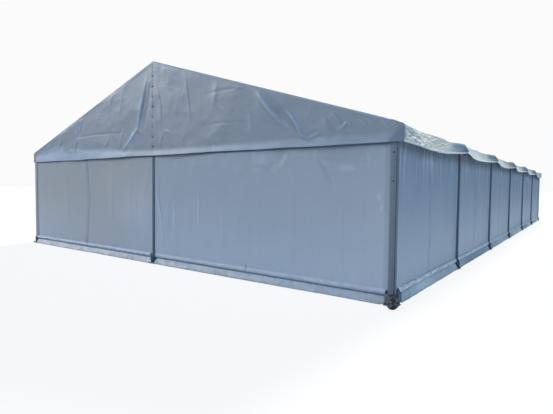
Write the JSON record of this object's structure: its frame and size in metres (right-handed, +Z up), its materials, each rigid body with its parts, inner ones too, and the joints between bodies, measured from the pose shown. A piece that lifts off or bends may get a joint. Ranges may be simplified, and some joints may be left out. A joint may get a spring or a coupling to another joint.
{
  "type": "storage tent",
  "caption": "Clear-span frame tent with a pitched sheet roof, scalloped eave flaps, hanging walls and laced gables on an aluminium frame.",
  "frame": {"origin": "ground level, in the middle of the tent's plan", "axes": "+Y along the tent from the front gable to the back gable, +X to the right seen from the front, +Z up"},
  "size_m": [9.3116, 18.15, 3.6251],
  "materials": {
    "sheeting": "PVC-coated polyester sheet, satin",
    "aluminium": "mill-finished extrusion, satin"
  },
  "bodies": {
    "root": {"leg_left_1": "aluminium", "leg_left_2": "aluminium", "leg_left_3": "aluminium", "leg_left_4": "aluminium", "leg_left_5": "aluminium", "leg_left_6": "aluminium", "leg_left_7": "aluminium", "leg_right_1": "aluminium", "leg_right_2": "aluminium", "leg_right_3": "aluminium", "leg_right_4": "aluminium", "leg_right_5": "aluminium", "leg_right_6": "aluminium", "leg_right_7": "aluminium", "rafters_1": "aluminium", "rafters_2": "aluminium", "rafters_3": "aluminium", "rafters_4": "aluminium", "rafters_5": "aluminium", "rafters_6": "aluminium", "rafters_7": "aluminium", "front_gable_post": "aluminium", "front_gable_beam": "aluminium", "back_gable_post": "aluminium", "back_gable_beam": "aluminium", "ridge_purlin": "aluminium", "mid_purlin_left": "aluminium", "eave_purlin_left": "aluminium", "mid_purlin_right": "aluminium", "eave_purlin_right": "aluminium", "roof_cover_1": "sheeting", "roof_cover_2": "sheeting", "roof_cover_3": "sheeting", "roof_cover_4": "sheeting", "roof_cover_5": "sheeting", "roof_cover_6": "sheeting", "side_wall_left_1": "sheeting", "side_wall_left_2": "sheeting", "side_wall_left_3": "sheeting", "side_wall_left_4": "sheeting", "side_wall_left_5": "sheeting", "side_wall_left_6": "sheeting", "side_wall_right_1": "sheeting", "side_wall_right_2": "sheeting", "side_wall_right_3": "sheeting", "side_wall_right_4": "sheeting", "side_wall_right_5": "sheeting", "side_wall_right_6": "sheeting", "front_gable_left": "sheeting", "front_wall_left": "sheeting", "front_gable_right": "sheeting", "front_wall_right": "sheeting", "back_gable_left": "sheeting", "back_wall_left": "sheeting", "back_gable_right": "sheeting", "back_wall_right": "sheeting"}
  },
  "joints": []
}
